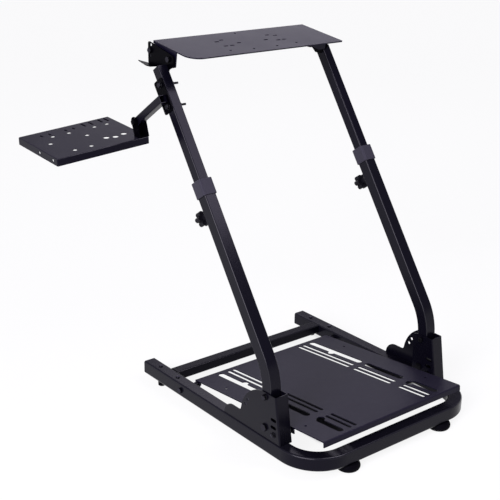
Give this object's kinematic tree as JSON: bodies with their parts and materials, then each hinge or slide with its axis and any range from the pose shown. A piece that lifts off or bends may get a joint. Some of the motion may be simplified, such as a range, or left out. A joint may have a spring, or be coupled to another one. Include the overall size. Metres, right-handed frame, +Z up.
{
  "type": "racing wheel stand",
  "caption": "Folding racing wheel stand: a bent tube base with a sloped slotted pedal plate, telescoping leaning posts, a tilting wheel plate and a side shifter tray.",
  "frame": {"origin": "on the floor under the middle of the stand's bounding box", "axes": "+Z up, +Y towards the driver, +X to the side away from the shifter tray"},
  "size_m": [0.8334, 0.872, 0.9221],
  "materials": {
    "frame_paint": "satin black paint",
    "bracket_paint": "satin black paint",
    "plate_paint": "smooth satin black paint",
    "collar_plastic": "moulded black plastic",
    "knob_plastic": "moulded black plastic",
    "cap_plastic": "moulded black plastic",
    "foot_rubber": "black rubber",
    "bolt_steel": "blackened steel"
  },
  "bodies": {
    "base": {"base_tube": "frame_paint", "crossbar": "frame_paint", "left_front_foot": "foot_rubber", "left_rear_foot": "foot_rubber", "left_end_cap": "cap_plastic", "left_base_bracket": "bracket_paint", "left_fold_bolt": "bolt_steel", "left_pedal_bolt": "bolt_steel", "right_front_foot": "foot_rubber", "right_rear_foot": "foot_rubber", "right_end_cap": "cap_plastic", "right_base_bracket": "bracket_paint", "right_fold_bolt": "bolt_steel", "right_pedal_bolt": "bolt_steel"},
    "posts": {"left_lower_post": "frame_paint", "left_collar": "collar_plastic", "right_lower_post": "frame_paint", "right_collar": "collar_plastic"},
    "upper_frame": {"left_upper_post": "frame_paint", "left_wheel_bracket": "bracket_paint", "left_wheel_bolt": "bolt_steel", "right_upper_post": "frame_paint", "right_wheel_bracket": "bracket_paint", "right_wheel_bolt": "bolt_steel", "shifter_mount": "bracket_paint", "shifter_arm": "frame_paint"},
    "wheel_rest": {"wheel_plate": "plate_paint"},
    "tray": {"shifter_gusset": "bracket_paint", "shifter_bolt": "bolt_steel", "shifter_tray": "plate_paint"},
    "pedal_rest": {"pedal_plate": "plate_paint"},
    "left_knob_turn": {"left_knob": "knob_plastic"},
    "right_knob_turn": {"right_knob": "knob_plastic"}
  },
  "joints": [
    {"name": "post_fold", "type": "hinge", "parent": "base", "child": "posts", "pos_m": [0.12183, -0.24904, 0.081], "axis": [-1, 0, 0], "range_deg": [0, 39]},
    {"name": "height_slide", "type": "slide", "parent": "posts", "child": "upper_frame", "axis": [0, 0.5678, 0.8231], "range_m": [-0.175, 0.1]},
    {"name": "wheel_tilt", "type": "hinge", "parent": "upper_frame", "child": "wheel_rest", "pos_m": [0.12183, 0.18282, 0.88693], "axis": [1, 0, 0], "range_deg": [-10, 10]},
    {"name": "tray_tilt", "type": "hinge", "parent": "upper_frame", "child": "tray", "pos_m": [-0.17167, 0.25807, 0.72569], "axis": [0.9976, 0, 0.0698], "range_deg": [-30, 60]},
    {"name": "pedal_tilt", "type": "hinge", "parent": "base", "child": "pedal_rest", "pos_m": [0.12183, 0.09296, 0.0365], "axis": [-1, 0, 0], "range_deg": [0, 5.9]},
    {"name": "left_knob_spin", "type": "hinge", "parent": "posts", "child": "left_knob_turn", "pos_m": [-0.14466, -0.00321, 0.54329], "axis": [0, 0.8231, -0.5678], "continuous": true},
    {"name": "right_knob_spin", "type": "hinge", "parent": "posts", "child": "right_knob_turn", "pos_m": [0.38833, -0.00321, 0.54329], "axis": [0, 0.8231, -0.5678], "continuous": true}
  ]
}
